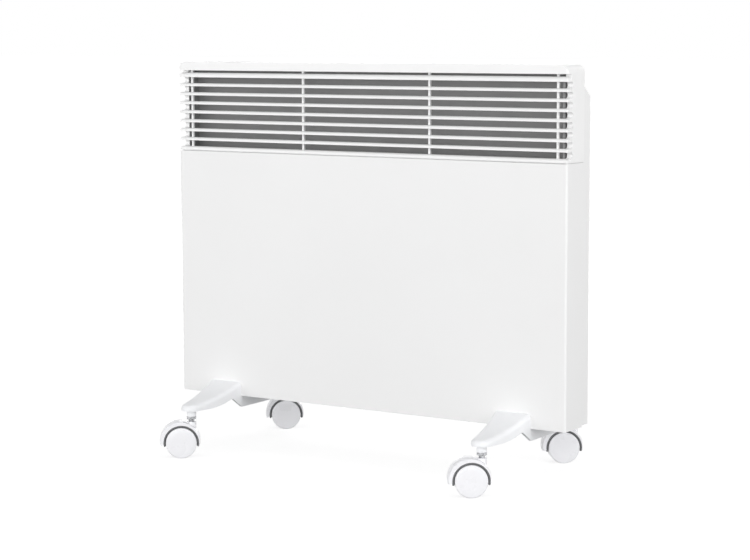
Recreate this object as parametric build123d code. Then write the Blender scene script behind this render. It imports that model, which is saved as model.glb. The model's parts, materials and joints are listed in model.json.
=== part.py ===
from build123d import *
import math
import os

# Electric panel convector standing on two moulded feet with four twin-wheel castors.
# Millimetres. X runs to the right seen from the front, Y to the rear, Z up from the floor.
# Pieces are drawn with Y = 0 on the front panel's face and moved at the end, so that the
# origin lies on the floor under the middle of the whole outline.

# Castor sizes
wheel_radius = 20.0
wheel_face_reach = 13.2     # castor's middle to the crown of a wheel's outer face
wheel_face_crown = 0.6
wheel_face_flat = 11.0      # radius of the flat middle of a wheel's outer face
wheel_edge_round = 0.9
wheel_rim_wall = 3.0
wheel_disc_wall = 2.8
wheel_hub_radius = 6.5
wheel_bore_step = 0.7       # axle's bore runs this far past the disc's inner face
axle_radius = 3.0
running_gap = 0.05          # radial play of every shaft that turns
side_play = 0.3             # end play between pieces that turn on each other
assembly_gap = 0.05         # play between pieces that are pushed together
cut_over = 1.0              # cutters run this far past the faces that they cut
web_half = 5.0              # half thickness of the dark frame between the wheels
web_inset = 4.0             # the frame's lower disc stays this far inside the wheel
liner_gap = 1.0             # wheel to the dark mudguard
liner_wall = 2.0
liner_setback = 0.4         # mudguard's side edge behind the hood's
hood_wall = 0.7
hood_offset = 1.6           # hood's round is off the axle by this, outwards and up
hood_crown = 0.8
hood_half = 11.4
hood_dip_deg = 12.0         # hood ends this far below the axle's level
trail = 13.5
swivel_rest_deg = 217.0     # the wheels trail to the left and the front
boss_radius = 6.2
boss_rise = 26.5            # boss top above the axle
stem_neck_radius = 3.7
stem_neck_length = 3.5
stem_collar_radius = 6.2
stem_collar_length = 3.4
stem_pin_radius = 4.0
stem_pin_depth = 4.2        # stem's pin above the foot's underside
stem_root_depth = 19.5      # stem runs this far down into the castor's frame

# Foot sizes
foot_inset = 72.0           # foot's middle from the body's end
foot_width = 50.0
stem_spacing_y = 236.0
front_reach = 75.6          # front castor stems ahead of the panel's face
foot_tip_radius = 13.0
foot_tip_wall = 7.0
foot_ridge_bulge = 3.0
foot_front_lip = 18.0
foot_rear_lip = 14.0
foot_edge_round = 5.5
pick_margin = 0.5           # reach round a level when edges are picked by place
saddle_rise = 10.0          # body's underside above the arms' underside
beam_depth = 15.2
heel_setback = 2.0
heel_run = 18.0
notch_height = 8.5
arm_flat = 18.0             # flat seat under the arm behind the stem
rear_beam_overrun = 18.0
foot_wall = 4.0             # side walls of the hollow under the body
foot_roof = 4.5             # foot material over that hollow
socket_drop = 7.8
socket_radius = 6.2
socket_plug_radius = 5.6
socket_plug_length = 4.8

# Cabinet sizes
body_width = 580.0
body_height = 440.0
body_depth = 63.5
cover_depth = 43.0
sheet = 1.2
bend_radius = 3.0
crown_radius = 9.5
slip_gap = 0.3
lip_depth = 20.0
flange_depth = 9.0
shoulder_drop = 24.5
shoulder_fall = 16.0

# Outlet grille sizes
grille_wall = 2.2
top_band = 11.0
groove_height = 3.0         # open groove between the band and the first slat
slat_count = 9
slat_pitch = 11.9
slat_height = 4.0
first_slat_height = 6.1
last_slat_height = 4.8
slat_setback = 7.5
slat_wall = 1.7
slat_nose = 1.0             # upright land at a slat's front edge
slat_inset = 0.2            # slats stand this far behind the band's face
slot_wrap = 14.0
slot_end_margin = 0.1       # slot's round end stays this far from the slats
bar_width = 2.8
bar_depth = 3.0
bar_bite = 1.0              # bars overlap the slats' rear edges by this
outer_bar_inset = 16.6
inner_bar_x = 94.8
tab_length = 12.0
panel_gap = 1.2
rib_front_setback = 4.0     # faces to the rib that closes the panel gap
rib_side_setback = 1.8
rib_bite = 3.6              # rib runs this far up into the last slat

# Air path sizes
deflector_sheet = 0.8
deflector_y = 30.0
deflector_foot = 12.0
deflector_foot_drop = 168.0     # foot of the deflector below the body's top
deflector_knee_drop = 124.0
deflector_bend_drop = 36.0
deflector_top_y = 14.0
deflector_side_gap = 0.8    # slats to the deflector's folded sides
inlet_slot_length = 22.0
inlet_slot_width = 6.0
inlet_columns = 11
inlet_pitch_x = 32.0
inlet_pitch_y = 13.0
inlet_rows = 2

# Heating element sizes
element_length = 440.0
element_height = 78.0       # element's axis above the body's underside
element_core_radius = 8.0
element_arm_reach = 24.0
element_arm_wall = 3.0
element_fin_length = 13.0
element_fin_wall = 1.6
element_fin_radii = (14.0, 20.0)
rod_radius = 4.0
rod_overhang = 22.0
bush_radius = 8.0
bush_length = 9.0
bush_head_radius = 10.0
bush_head_length = 2.5
bracket_sheet = 1.5
bracket_height = 44.0
bracket_nose = 14.0
bracket_flange = 14.0
cutout_radius = 8.0
cutout_depth = 9.0
cutout_plate_x = 26.0
cutout_plate_z = 10.0
cutout_plate_wall = 1.0
cutout_rise = 62.0          # cut-out above the element's axis
cutout_x = 120.0

# Control sizes
knob_inset = 44.0           # places from the body's right end
switch_inset = 84.0
lamp_inset = 109.0
gland_inset = 28.0
sensor_inset = 28.0
knob_rest_deg = -45.0       # pointer at the dial's lowest mark
knob_radius = 7.0
knob_height = 11.0
knob_top_wall = 3.3
knob_grip_count = 12
knob_grip_radius = 0.8
knob_pointer_width = 1.6
knob_pointer_height = 0.6
knob_lift = 0.8
spindle_radius = 3.0
spindle_depth = 9.0
bushing_radius = 5.0
thermostat_x = 28.0
thermostat_y = 16.0
thermostat_depth = 18.0
switch_window_x = 19.0
switch_window_y = 11.0
switch_wall = 1.0
switch_flange = 1.6
switch_flange_wall = 1.4
switch_depth = 13.0
rocker_gap = 0.4
rocker_half = 8.0
rocker_rise = 2.6
rocker_dish = 1.6
rocker_tilt_deg = 10.0
rocker_pivot_depth = 2.5
rocker_pin_radius = 1.2
lens_radius = 2.6
lens_flange_radius = 3.6
lens_flange_wall = 0.8
lens_depth = 8.0
terminal_gap = 6.0          # terminal strip to the gland and to the bracket
terminal_poles = 3
terminal_pole_pitch = 11.0
terminal_height = 18.0
terminal_depth = 15.0
terminal_screw_radius = 2.2
terminal_screw_depth = 6.0
gland_rise = 34.0
gland_bore_radius = 3.8
gland_radius = 6.5
gland_flange_radius = 9.0
gland_flange_wall = 2.0
gland_length = 12.0
sensor_radius = 2.5
sensor_height = 22.0
sensor_clip_x = 12.0
sensor_clip_y = 10.0
sensor_clip_wall = 2.0

# Wall hook slots in the back, and screws
hook_spacing = 300.0
hook_slot_length = 24.0
hook_slot_width = 8.0
hook_drop = 78.0
screw_radius = 2.0
screw_head_radius = 3.9
screw_head_height = 2.2
screw_grip = 6.0            # thread past the last wall
foot_screw_spread = 12.0
foot_screw_y = 40.0
case_screw_y = 12.0
case_screw_pitch = 150.0

# Heights worked out from the floor up
boss_top = wheel_radius + boss_rise
collar_bottom = boss_top + stem_neck_length
collar_top = collar_bottom + stem_collar_length
socket_bottom = collar_top + side_play
arm_bottom = socket_bottom + socket_drop
body_bottom = arm_bottom + saddle_rise
body_top = body_bottom + body_height
beam_bottom = body_bottom - beam_depth
casing_bottom = body_bottom + sheet
slot_height = slat_pitch - slat_height
band_bottom = body_top - top_band
first_slat_top = band_bottom - groove_height
last_slat_top = first_slat_top - first_slat_height - (slat_count - 2) * slat_pitch - slot_height
grille_bottom = last_slat_top - last_slat_height
panel_top = grille_bottom - panel_gap
shoulder_top = body_top - shoulder_drop
shoulder_low = shoulder_top - shoulder_fall

# Places in width and depth
half_width = body_width / 2
casing_half = half_width - sheet - slip_gap
foot_x = half_width - foot_inset
knob_x = half_width - knob_inset
switch_x = half_width - switch_inset
lamp_x = half_width - lamp_inset
gland_x = half_width - gland_inset
sensor_x = half_width - sensor_inset
casing_front = bend_radius + slip_gap
back_inside = body_depth - sheet
shoulder_front = cover_depth + slip_gap
shoulder_run = body_depth - shoulder_front
front_stem_y = -front_reach
rear_stem_y = front_stem_y + stem_spacing_y
element_y = (casing_front + back_inside) / 2
element_z = body_bottom + element_height
bracket_x = element_length / 2 + bush_head_length + side_play
terminal_half = terminal_poles * terminal_pole_pitch / 2
terminal_x = gland_x - gland_flange_radius - terminal_gap - terminal_half
terminal_z = element_z - (bracket_height + terminal_height) / 2 - terminal_gap
liner_inner = wheel_radius + liner_gap
liner_outer = liner_inner + liner_wall
hood_inner = liner_outer + assembly_gap
hood_dip = math.radians(hood_dip_deg)
hood_edge_radius = hood_inner + hood_wall + hood_offset * (math.cos(hood_dip) + math.sin(hood_dip))
wheel_inner_face = web_half + side_play
wheel_bore_end = wheel_face_reach - wheel_disc_wall
stem_root = boss_top - stem_root_depth


def block(x, y, z):
    """Box between three pairs of limits."""
    middle = Pos((x[0] + x[1]) / 2, (y[0] + y[1]) / 2, (z[0] + z[1]) / 2)
    return middle * Box(x[1] - x[0], y[1] - y[0], z[1] - z[0])


def post(radius, bottom, top, x=0.0, y=0.0):
    """Upright cylinder between two heights."""
    return Pos(x, y, (bottom + top) / 2) * Cylinder(radius, top - bottom)


def bar_along_y(radius, front, rear, x=0.0, z=0.0):
    """Cylinder along Y between two depths."""
    return Pos(x, (front + rear) / 2, z) * Rot(90, 0, 0) * Cylinder(radius, rear - front)


def bar_along_x(radius, left, right, y=0.0, z=0.0):
    """Cylinder along X between two places."""
    return Pos((left + right) / 2, y, z) * Rot(0, 90, 0) * Cylinder(radius, right - left)


def depth_section(outline, x_from, x_to):
    """Prism along X of an outline drawn in depth and height."""
    plane = Plane(origin=(x_from, 0, 0), x_dir=(0, 1, 0), z_dir=(1, 0, 0))
    return extrude(plane * outline, amount=x_to - x_from)


def plan_prism(outline, bottom, top):
    """Prism along Z of an outline drawn in plan."""
    return extrude(Pos(0, 0, bottom) * outline, amount=top - bottom)


def mirrored(solid):
    """The same piece for the other end of the heater."""
    return mirror(solid, about=Plane.YZ)


# Cabinet

def foot_screw_places():
    """Plan places of the screws that hold the feet under the casing."""
    for side in (-1, 1):
        for shift in (-foot_screw_spread, foot_screw_spread):
            yield side * foot_x + shift, foot_screw_y


def case_screw_places():
    """Plan places of the screws through the panel's lower lip."""
    for step in (-1, 0, 1):
        yield step * case_screw_pitch, case_screw_y


def front_panel():
    """Folded steel front: face, two side returns, a lower lip and a short top flange."""
    outer = block((-half_width, half_width), (0, cover_depth), (body_bottom, panel_top))
    uprights = outer.edges().filter_by(Axis.Z).group_by(Axis.Y)[0]
    outer = fillet(uprights, bend_radius)
    inside_x = half_width - sheet
    inner = block((-inside_x, inside_x), (sheet, cover_depth + cut_over),
                  (body_bottom + sheet, panel_top - sheet))
    uprights = inner.edges().filter_by(Axis.Z).group_by(Axis.Y)[0]
    inner = fillet(uprights, bend_radius - sheet)
    below = block((-inside_x, inside_x), (lip_depth, cover_depth + cut_over),
                  (body_bottom - cut_over, body_bottom + 2 * sheet))
    above = block((-inside_x, inside_x), (flange_depth, cover_depth + cut_over),
                  (panel_top - 2 * sheet, panel_top + cut_over))
    panel = outer - inner - below - above
    for x, y in case_screw_places():
        panel -= post(screw_radius + assembly_gap, body_bottom - cut_over, body_bottom + 2 * sheet, x, y)
    return panel


def inlet_slots():
    """Cutter for the air inlet in the casing's floor."""
    row_middle = (lip_depth + back_inside) / 2
    cutter = []
    for column in range(inlet_columns):
        x = (column - (inlet_columns - 1) / 2) * inlet_pitch_x
        for row in range(inlet_rows):
            y = row_middle + (row - (inlet_rows - 1) / 2) * inlet_pitch_y
            cutter.append(block((x - inlet_slot_length / 2, x + inlet_slot_length / 2),
                                (y - inlet_slot_width / 2, y + inlet_slot_width / 2),
                                (casing_bottom - cut_over, casing_bottom + 2 * sheet)))
    return cutter


def shoulder_plane(x):
    """Plane on the casing's sloped shoulder: local x to the right, local y down the slope."""
    slope = math.hypot(shoulder_run, shoulder_fall)
    normal = (0, shoulder_fall / slope, shoulder_run / slope)
    middle = (x, shoulder_front + shoulder_run / 2, shoulder_top - shoulder_fall / 2)
    return Plane(origin=middle, x_dir=(1, 0, 0), z_dir=normal)


def casing_outline(front):
    """Side outline of the rear casing from its open front to its back, with the sloped shoulder."""
    return Polygon(
        (front, casing_bottom),
        (body_depth, casing_bottom),
        (body_depth, shoulder_low),
        (shoulder_front, shoulder_top),
        (front, shoulder_top),
        align=None,
    )


def rear_casing():
    """Folded steel tray: back, sides, slotted floor and the sloped shoulder for the controls."""
    outer = depth_section(casing_outline(casing_front), -casing_half, casing_half)
    outer = fillet(outer.faces().sort_by(Axis.Y)[-1].edges(), bend_radius)
    hollow = offset(casing_outline(casing_front - 4 * sheet), -sheet, kind=Kind.INTERSECTION)
    inside_x = casing_half - sheet
    inner = depth_section(hollow, -inside_x, inside_x)
    inner = fillet(inner.faces().sort_by(Axis.Y)[-1].edges(), bend_radius - sheet)
    under_grille = block((-half_width, half_width), (casing_front - cut_over, shoulder_front),
                         (panel_top - 2 * sheet, body_top))
    casing = outer - inner - under_grille
    casing -= inlet_slots()
    for x, y in [*foot_screw_places(), *case_screw_places()]:
        casing -= post(screw_radius + assembly_gap, casing_bottom - cut_over, casing_bottom + 2 * sheet,
                       x, y)
    for side in (-1, 1):
        slot = SlotOverall(hook_slot_length, hook_slot_width)
        place = Plane(origin=(side * hook_spacing / 2, body_depth + cut_over, body_top - hook_drop),
                      x_dir=(1, 0, 0), z_dir=(0, -1, 0))
        casing -= extrude(place * slot, amount=3 * sheet)
    casing -= bar_along_y(gland_radius + assembly_gap, back_inside - cut_over, body_depth + cut_over,
                          gland_x, body_bottom + gland_rise)
    casing -= shoulder_plane(knob_x) * post(bushing_radius + assembly_gap, -2 * sheet, cut_over)
    casing -= shoulder_plane(lamp_x) * post(lens_radius + assembly_gap, -2 * sheet, cut_over)
    reach_x = switch_window_x / 2 + switch_wall + assembly_gap
    reach_y = switch_window_y / 2 + switch_wall + assembly_gap
    casing -= shoulder_plane(switch_x) * block((-reach_x, reach_x), (-reach_y, reach_y),
                                               (-2 * sheet, cut_over))
    return casing


# Outlet grille

def slat_spans():
    """Lower and upper edge of every slat, from the top down."""
    heights = [first_slat_height, *[slat_height] * (slat_count - 2), last_slat_height]
    top = first_slat_top
    spans = []
    for height in heights:
        spans.append((top - height, top))
        top -= height + slot_height
    return spans


def slat_profile(height):
    """Louvre section with a round nose: x runs inwards from the face, y up from the lower edge."""
    nose_top = (0, slat_nose)
    round_end = (height - slat_nose, height)
    outline = TangentArc(nose_top, round_end, tangent=(0, 1))
    outline += Polyline(round_end, (slat_setback, height), (slat_setback, height - slat_wall),
                        (slat_wall, 0), (0, 0), nose_top)
    return make_face(outline)


def slat(bottom, top):
    """One louvre that runs across the front and round both corners, mitred there."""
    run = slot_wrap + grille_wall / 2
    profile = slat_profile(top - bottom)
    face_x = half_width - slat_inset
    inner_x = face_x - slat_setback
    inner_y = slat_inset + slat_setback
    front_plane = Plane(origin=(-face_x, slat_inset, bottom), x_dir=(0, 1, 0), z_dir=(1, 0, 0))
    side_plane = Plane(origin=(face_x, slat_inset, bottom), x_dir=(-1, 0, 0), z_dir=(0, 1, 0))
    limits = (bottom - cut_over, top + cut_over)
    front_mitre = Polygon((-face_x, slat_inset), (face_x, slat_inset), (inner_x, inner_y),
                          (-inner_x, inner_y), align=None)
    side_mitre = Polygon((face_x, slat_inset), (face_x, run), (inner_x, run),
                         (inner_x, inner_y), align=None)
    front = extrude(front_plane * profile, amount=2 * face_x) & plan_prism(front_mitre, *limits)
    side = extrude(side_plane * profile, amount=run) & plan_prism(side_mitre, *limits)
    return [front, side, mirrored(side)]


def slot_end(spans):
    """Upright at the right end of the slots, with a round hollow at the end of each slot."""
    reach = slot_height / 2
    inner_x = half_width - slat_inset - slat_setback
    upright = block((inner_x, half_width + cut_over), (slot_wrap - reach, slot_wrap + grille_wall),
                    (grille_bottom, body_top - top_band / 2))
    gaps = [upper[0] - reach for upper in spans[:-1]]
    hollows = [bar_along_x(reach - slot_end_margin, inner_x - cut_over, half_width + 2 * cut_over,
                           slot_wrap - reach, z)
               for z in gaps]
    tab = block((inner_x, casing_half - sheet - slip_gap), (slot_wrap, slot_wrap + grille_wall),
                (panel_top - tab_length, grille_bottom + grille_wall))
    return (upright - hollows) + tab


def gap_rib():
    """Rib behind the gap over the panel, across the front and along both sides."""
    outer_x = half_width - rib_side_setback
    inner_x = outer_x - grille_wall
    bottom = panel_top + assembly_gap
    top = grille_bottom + rib_bite
    outer = block((-outer_x, outer_x), (rib_front_setback, cover_depth), (bottom, top))
    return outer - block((-inner_x, inner_x), (rib_front_setback + grille_wall, cover_depth + cut_over),
                         (bottom - cut_over, top + cut_over))


def outlet_grille():
    """Moulded louvre frame: top cap, cheeks, wrapped slats, bars and slot ends in one piece."""
    plan = Rectangle(body_width, cover_depth, align=(Align.CENTER, Align.MIN))
    plan = fillet(plan.vertices().group_by(Axis.Y)[0], bend_radius)
    face = Pos(0, grille_bottom - tab_length) * Rectangle(
        body_width, body_top - grille_bottom + tab_length, align=(Align.CENTER, Align.MIN))
    face = fillet(face.vertices().group_by(Axis.Y)[-1], crown_radius)
    front_shape = extrude(Plane.XZ * face, amount=-cover_depth)
    envelope = plan_prism(plan, grille_bottom - 2 * tab_length, body_top) & front_shape
    inside_x = half_width - grille_wall
    inside_top = body_top - grille_wall
    inner = block((-inside_x, inside_x), (-cut_over, cover_depth - grille_wall),
                  (grille_bottom - cut_over, inside_top))
    inner = fillet(inner.edges().filter_by(Axis.Y).group_by(Axis.Z)[-1], crown_radius - grille_wall)
    outer_x = half_width + cut_over
    cap = block((-outer_x, outer_x), (-cut_over, cover_depth), (grille_bottom, body_top + cut_over)) - inner
    cap -= block((-2 * outer_x, 2 * outer_x), (-2 * cut_over, slot_wrap),
                 (grille_bottom - cut_over, band_bottom))
    rear_edge = cover_depth - 2 * grille_wall
    cap -= block((-inside_x, inside_x), (rear_edge, cover_depth + cut_over),
                 (grille_bottom - cut_over, shoulder_top))
    band = block((-outer_x, outer_x), (-cut_over, grille_wall), (band_bottom, body_top))
    spans = slat_spans()
    slats = [piece for span in spans for piece in slat(*span)]
    bar_front = slat_setback - bar_bite
    bars = [
        block((x - bar_width / 2, x + bar_width / 2), (bar_front, bar_front + bar_depth),
              (last_slat_top - last_slat_height / 2, inside_top + grille_wall / 2))
        for x in (outer_bar_inset - half_width, -inner_bar_x, inner_bar_x, half_width - outer_bar_inset)
    ]
    end = slot_end(spans)
    walls = [band, gap_rib(), end, mirrored(end)]
    return (cap + [*walls, *bars, *slats]) & envelope


def air_deflector():
    """Bent sheet behind the louvres that turns the warm air to the front, with folded sides."""
    foot_low = body_top - deflector_foot_drop
    bend = (deflector_y, body_top - deflector_bend_drop)
    tip = (deflector_top_y, body_top - grille_wall - assembly_gap)
    crown = TangentArc(bend, tip, tangent=(0, 1))
    path = Polyline((back_inside, foot_low), (back_inside, foot_low + deflector_foot),
                    (deflector_y, body_top - deflector_knee_drop), bend) + crown
    strip = make_face(offset(path, amount=deflector_sheet, side=Side.LEFT, closed=True))
    reach = half_width - max(slat_setback, crown_radius) - side_play
    side_front = slat_inset + slat_setback + deflector_side_gap
    before_strip = crown + Polyline(tip, (side_front, tip[1]), (side_front, grille_bottom),
                                    (deflector_y, grille_bottom), bend)
    side = depth_section(make_face(before_strip), reach - deflector_sheet, reach)
    side &= block((0, half_width), (0, body_depth), (grille_bottom, first_slat_top - first_slat_height / 2))
    return depth_section(strip, -reach, reach) + [side, mirrored(side)]


# Heating element and its supports

def heating_element():
    """Finned aluminium element with an X-shaped section."""
    section = Circle(element_core_radius)
    for angle in (45, 135):
        section += Rot(0, 0, angle) * Rectangle(2 * element_arm_reach, element_arm_wall)
    for angle in (45, 135, 225, 315):
        for radius in element_fin_radii:
            section += Rot(0, 0, angle) * Pos(radius, 0) * Rectangle(element_fin_wall, element_fin_length)
    section -= Circle(rod_radius + assembly_gap)
    return depth_section(Pos(element_y, element_z) * section, -element_length / 2, element_length / 2)


def element_rod():
    """Sheathed heating rod through the element, with its ends in the bushes."""
    reach = element_length / 2 + rod_overhang
    return bar_along_x(rod_radius, -reach, reach, element_y, element_z)


def element_bracket():
    """Right-hand steel bracket between the casing's back and the element's bush."""
    low = element_z - bracket_height / 2
    high = element_z + bracket_height / 2
    plate = block((bracket_x, bracket_x + bracket_sheet), (element_y - bracket_nose, back_inside),
                  (low, high))
    foot = block((bracket_x, bracket_x + bracket_flange), (back_inside - bracket_sheet, back_inside),
                 (low, high))
    hole = bar_along_x(bush_radius + assembly_gap, bracket_x - cut_over, bracket_x + 2 * bracket_sheet,
                       element_y, element_z)
    return plate + foot - hole


def element_bush():
    """Right-hand insulating bush: a head against the bracket and a sleeve through it."""
    head = bar_along_x(bush_head_radius, bracket_x - bush_head_length, bracket_x, element_y, element_z)
    sleeve = bar_along_x(bush_radius, bracket_x, bracket_x + bush_length, element_y, element_z)
    bore = bar_along_x(rod_radius + assembly_gap, bracket_x - 2 * bush_head_length,
                       bracket_x + 2 * bush_length, element_y, element_z)
    return head + sleeve - bore


def thermal_cutout():
    """Round overheat switch on its plate against the casing's back."""
    z = element_z + cutout_rise
    plate_front = back_inside - cutout_plate_wall
    plate = block((cutout_x - cutout_plate_x / 2, cutout_x + cutout_plate_x / 2),
                  (plate_front, back_inside), (z - cutout_plate_z / 2, z + cutout_plate_z / 2))
    return plate + bar_along_y(cutout_radius, plate_front - cutout_depth, plate_front, cutout_x, z)


# Controls on the shoulder, drawn on the shoulder's plane with z = 0 on its outer face

def thermostat_body():
    """Thermostat under the shoulder with its bushing through the sheet."""
    case = block((-thermostat_x / 2, thermostat_x / 2), (-thermostat_y / 2, thermostat_y / 2),
                 (-sheet - thermostat_depth, -sheet))
    bushing = post(bushing_radius, -sheet, knob_lift - side_play)
    bore = post(spindle_radius + running_gap, -sheet - spindle_depth - side_play, knob_lift + cut_over)
    return shoulder_plane(knob_x) * (case + bushing - bore)


def spindle_top():
    """Height of the spindle's end inside the knob."""
    return knob_lift + knob_height - knob_top_wall


def thermostat_spindle():
    """Steel spindle that turns in the thermostat's bushing."""
    return shoulder_plane(knob_x) * post(spindle_radius, -sheet - spindle_depth, spindle_top())


def thermostat_knob():
    """Grooved knob with a raised pointer, pushed on the spindle."""
    top = knob_lift + knob_height
    knob = post(knob_radius, knob_lift, top)
    groove = post(knob_grip_radius, knob_lift - cut_over, top + cut_over, knob_radius)
    grooves = [Rot(0, 0, index * 360 / knob_grip_count) * groove for index in range(knob_grip_count)]
    pointer = block((-knob_pointer_width / 2, knob_pointer_width / 2),
                    (-knob_radius + 2 * knob_grip_radius, 0), (top - cut_over, top + knob_pointer_height))
    socket = post(spindle_radius + assembly_gap, knob_lift - cut_over, spindle_top() + assembly_gap)
    return shoulder_plane(knob_x) * Rot(0, 0, knob_rest_deg) * (knob - grooves - socket + pointer)


def rocker_pivot_level():
    """Height of the rocker's pivot over the shoulder's face."""
    return switch_flange_wall - rocker_pivot_depth


def switch_frame():
    """Switch housing with a flange on the shoulder and the pivot pin across its window."""
    window_x = switch_window_x / 2
    window_y = switch_window_y / 2
    body_x = window_x + switch_wall
    body_y = window_y + switch_wall
    flange_x = body_x + switch_flange
    flange_y = body_y + switch_flange
    frame = block((-flange_x, flange_x), (-flange_y, flange_y), (0, switch_flange_wall))
    frame += block((-body_x, body_x), (-body_y, body_y), (-switch_depth, switch_flange_wall))
    frame -= block((-window_x, window_x), (-window_y, window_y),
                   (switch_wall - switch_depth, switch_flange_wall + cut_over))
    frame += bar_along_y(rocker_pin_radius, -window_y - switch_wall / 2, window_y + switch_wall / 2,
                         0, rocker_pivot_level())
    return shoulder_plane(switch_x) * frame


def rocker_switch():
    """Dished rocker on the housing's pin, tipped to its off side."""
    level = rocker_pivot_level()
    high = switch_flange_wall + rocker_rise
    profile = Polygon(
        (-rocker_half, high),
        (-rocker_half, level),
        (-rocker_half / 2, level - 2 * rocker_pin_radius),
        (rocker_half / 2, level - 2 * rocker_pin_radius),
        (rocker_half, level),
        (rocker_half, high),
        (0, high - rocker_dish),
        align=None,
    )
    half_y = switch_window_y / 2 - rocker_gap
    rocker = extrude(Plane.XZ * profile, amount=half_y, both=True)
    rocker -= bar_along_y(rocker_pin_radius + running_gap, -half_y - cut_over, half_y + cut_over, 0, level)
    tipped = Pos(0, 0, level) * Rot(0, -rocker_tilt_deg, 0) * Pos(0, 0, -level) * rocker
    return shoulder_plane(switch_x) * tipped


def indicator_lens():
    """Clear pilot lens with a flange and a domed head."""
    dome = Pos(0, 0, lens_flange_wall) * Sphere(lens_radius)
    lens = post(lens_radius, -lens_depth, lens_flange_wall) + post(lens_flange_radius, 0, lens_flange_wall)
    return shoulder_plane(lamp_x) * (lens + dome)


# Electrical pieces on the casing

def terminal_block():
    """Terminal strip on the casing's back, with a screw well for each pole."""
    front = back_inside - terminal_depth
    strip = block((terminal_x - terminal_half, terminal_x + terminal_half), (front, back_inside),
                  (terminal_z - terminal_height / 2, terminal_z + terminal_height / 2))
    for pole in range(terminal_poles):
        x = terminal_x + (pole - (terminal_poles - 1) / 2) * terminal_pole_pitch
        strip -= bar_along_y(terminal_screw_radius, front - cut_over, front + terminal_screw_depth,
                             x, terminal_z)
    return strip


def cable_gland():
    """Bush for the supply lead through the casing's back, with a hexagonal nut inside."""
    z = body_bottom + gland_rise
    nut_plane = Plane(origin=(gland_x, back_inside, z), x_dir=(1, 0, 0), z_dir=(0, -1, 0))
    nut = extrude(nut_plane * RegularPolygon(gland_flange_radius, 6), amount=gland_flange_wall)
    sleeve = bar_along_y(gland_radius, back_inside - gland_length, body_depth, gland_x, z)
    flange = bar_along_y(gland_flange_radius, body_depth, body_depth + gland_flange_wall, gland_x, z)
    bore = bar_along_y(gland_bore_radius, back_inside - 2 * gland_length, body_depth + 2 * gland_length,
                       gland_x, z)
    return sleeve + flange + nut - bore


def air_sensor():
    """Air temperature probe in a clip on the casing's floor, beside the inlet."""
    floor = casing_bottom + sheet
    clip = block((sensor_x - sensor_clip_x / 2, sensor_x + sensor_clip_x / 2),
                 (element_y - sensor_clip_y / 2, element_y + sensor_clip_y / 2),
                 (floor, floor + sensor_clip_wall))
    return clip + post(sensor_radius, floor, floor + sensor_height, sensor_x, element_y)


# Feet, sockets and screws

def foot_outline():
    """Side outline of a foot: front arm, saddle under the body, rear arm and beam."""
    tip_top = arm_bottom + foot_tip_wall
    front_tip = front_stem_y - foot_tip_radius
    rear_tip = rear_stem_y + foot_tip_radius
    front_lip = (0, body_bottom + foot_front_lip)
    rear_lip = (body_depth, casing_bottom + foot_rear_lip)
    seat_step = lip_depth + slip_gap
    heel = (heel_setback, beam_bottom)
    notch = (heel_setback - heel_run, arm_bottom + notch_height)
    flat_end = (front_stem_y + arm_flat, arm_bottom)
    rear_heel = (body_depth + rear_beam_overrun, beam_bottom)
    rear_rise = (body_depth + rear_beam_overrun + heel_run, arm_bottom)
    outline = Line((front_tip, arm_bottom), (front_tip, tip_top))
    outline += SagittaArc((front_tip, tip_top), front_lip, -foot_ridge_bulge)
    outline += Polyline(front_lip, (0, body_bottom), (seat_step, body_bottom), (seat_step, casing_bottom),
                        (body_depth, casing_bottom), rear_lip)
    outline += SagittaArc(rear_lip, (rear_tip, tip_top), -foot_ridge_bulge)
    outline += Polyline((rear_tip, tip_top), (rear_tip, arm_bottom), rear_rise, rear_heel, heel, notch)
    outline += TangentArc(flat_end, notch, tangent=(1, 0))
    outline += Line(flat_end, (front_tip, arm_bottom))
    return make_face(outline)


def foot():
    """Moulded foot with a saddle for the body over a hollow, drawn about its own middle line."""
    plan_edges = Pos(0, body_depth / 2) * Rectangle(foot_width, body_depth)
    plan_edges += Pos(0, front_stem_y) * Circle(foot_tip_radius)
    plan_edges += Pos(0, rear_stem_y) * Circle(foot_tip_radius)
    plan = make_hull(plan_edges.edges())
    half = foot_width / 2
    solid = depth_section(foot_outline(), -half, half) & plan_prism(plan, 0, body_top)
    ridge_low = arm_bottom + foot_tip_wall - pick_margin
    ridges = [
        edge for edge in solid.edges()
        if min(vertex.Z for vertex in edge.vertices()) > ridge_low
        and not -pick_margin < edge.center().Y < body_depth + pick_margin
    ]
    solid = fillet(ridges, foot_edge_round)
    for y in (front_stem_y, rear_stem_y):
        solid -= post(socket_plug_radius + assembly_gap, arm_bottom - cut_over, socket_hole_top(), 0, y)
    ceiling = casing_bottom - foot_roof
    hollow = plan_prism(offset(plan, -foot_wall), beam_bottom - cut_over, ceiling)
    hollow &= block((-half, half), (heel_setback - heel_run, body_depth + rear_beam_overrun + heel_run),
                    (0, body_top))
    solid -= hollow
    for shift in (-foot_screw_spread, foot_screw_spread):
        solid -= post(screw_radius + assembly_gap, ceiling - cut_over, casing_bottom + cut_over,
                      shift, foot_screw_y)
    return solid


def socket_hole_top():
    """Top of the blind hole for a castor socket."""
    return arm_bottom + socket_plug_length + assembly_gap


def castor_socket():
    """Sleeve under the foot in which a castor's stem turns, drawn about the stem's axis."""
    top = arm_bottom + socket_plug_length
    sleeve = post(socket_radius, socket_bottom, arm_bottom) + post(socket_plug_radius, arm_bottom, top)
    return sleeve - post(stem_pin_radius + running_gap, socket_bottom - cut_over, top + cut_over)


def screw(head_bottom, tip):
    """Pan-head screw pointing up."""
    shank_start = head_bottom + screw_head_height
    return post(screw_head_radius, head_bottom, shank_start) + post(screw_radius, shank_start, tip)


def screws_at(places, head_bottom):
    """Group of equal screws into the casing's floor."""
    tip = casing_bottom + sheet + screw_grip
    first, *others = [Pos(x, y, 0) * screw(head_bottom, tip) for x, y in places]
    return first + others


# Castor pieces, drawn about the stem's axis with the wheels trailing along +X

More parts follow.
